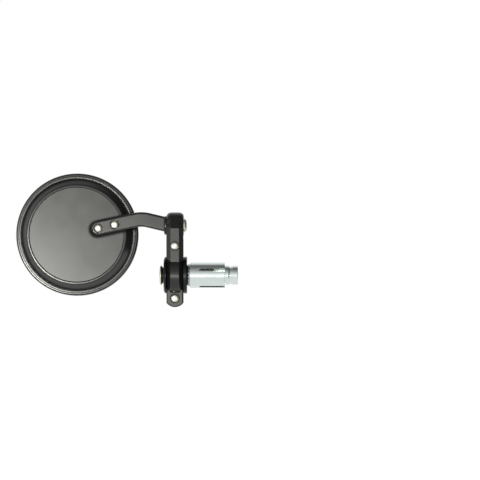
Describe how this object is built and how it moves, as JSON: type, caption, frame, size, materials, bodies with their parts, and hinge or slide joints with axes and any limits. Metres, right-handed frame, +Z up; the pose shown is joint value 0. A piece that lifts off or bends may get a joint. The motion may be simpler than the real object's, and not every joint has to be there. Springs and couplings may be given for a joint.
{
  "type": "motorcycle bar end mirror",
  "caption": "Round bar end mirror with a cast black head on a bent arm, a split clamp link on a flanged spool and an expanding steel plug for the bar's bore.",
  "frame": {"origin": "on the plug's axis, at the outboard end of the expander sleeve", "axes": "+X along the plug into the handlebar, +Z up, +Y the way the glass faces"},
  "size_m": [0.1499, 0.0315, 0.0899],
  "materials": {
    "coat_black": "satin",
    "anodised_black": "satin",
    "mirror": "gloss",
    "foam_black": "matte",
    "zinc_steel": "satin",
    "stainless": "gloss",
    "polymer_black": "matte"
  },
  "bodies": {
    "bar_plug": {"bobbin": "anodised_black", "toothed_washer": "zinc_steel", "plain_washer": "zinc_steel", "expander_sleeve": "zinc_steel"},
    "clamp_link": {"link": "coat_black", "clamp_cap": "coat_black", "clamp_screw_upper": "stainless", "clamp_screw_lower": "stainless", "pivot_washer": "polymer_black", "pivot_spring_washer": "zinc_steel"},
    "head_arm": {"head_housing": "coat_black", "bezel_ring": "coat_black", "mirror_glass": "mirror", "glass_tape": "foam_black", "screw_plate": "zinc_steel", "arm": "coat_black", "arm_screw_outer": "stainless", "arm_screw_inner": "stainless", "pivot_bolt": "stainless"},
    "end_bolt": {"end_bolt": "stainless"},
    "wedge": {"wedge_nut": "zinc_steel"}
  },
  "joints": [
    {"name": "clamp_swivel", "type": "hinge", "parent": "bar_plug", "child": "clamp_link", "pos_m": [-0.01, 0, 0], "axis": [1, 0, 0], "continuous": true},
    {"name": "arm_pivot", "type": "hinge", "parent": "clamp_link", "child": "head_arm", "pos_m": [-0.01, 0.00425, 0.0333], "axis": [1, 0, 0], "continuous": true},
    {"name": "end_bolt_turn", "type": "hinge", "parent": "bar_plug", "child": "end_bolt", "pos_m": [0, 0, 0], "axis": [1, 0, 0], "range_deg": [0, 541]},
    {"name": "wedge_draw", "type": "slide", "parent": "bar_plug", "child": "wedge", "axis": [-1, 0, 0], "range_m": [0, 0.0015]}
  ],
  "couplings": [
    {"joint": "end_bolt_turn", "follows": "wedge_draw", "rad_per_m": 6283.2}
  ]
}
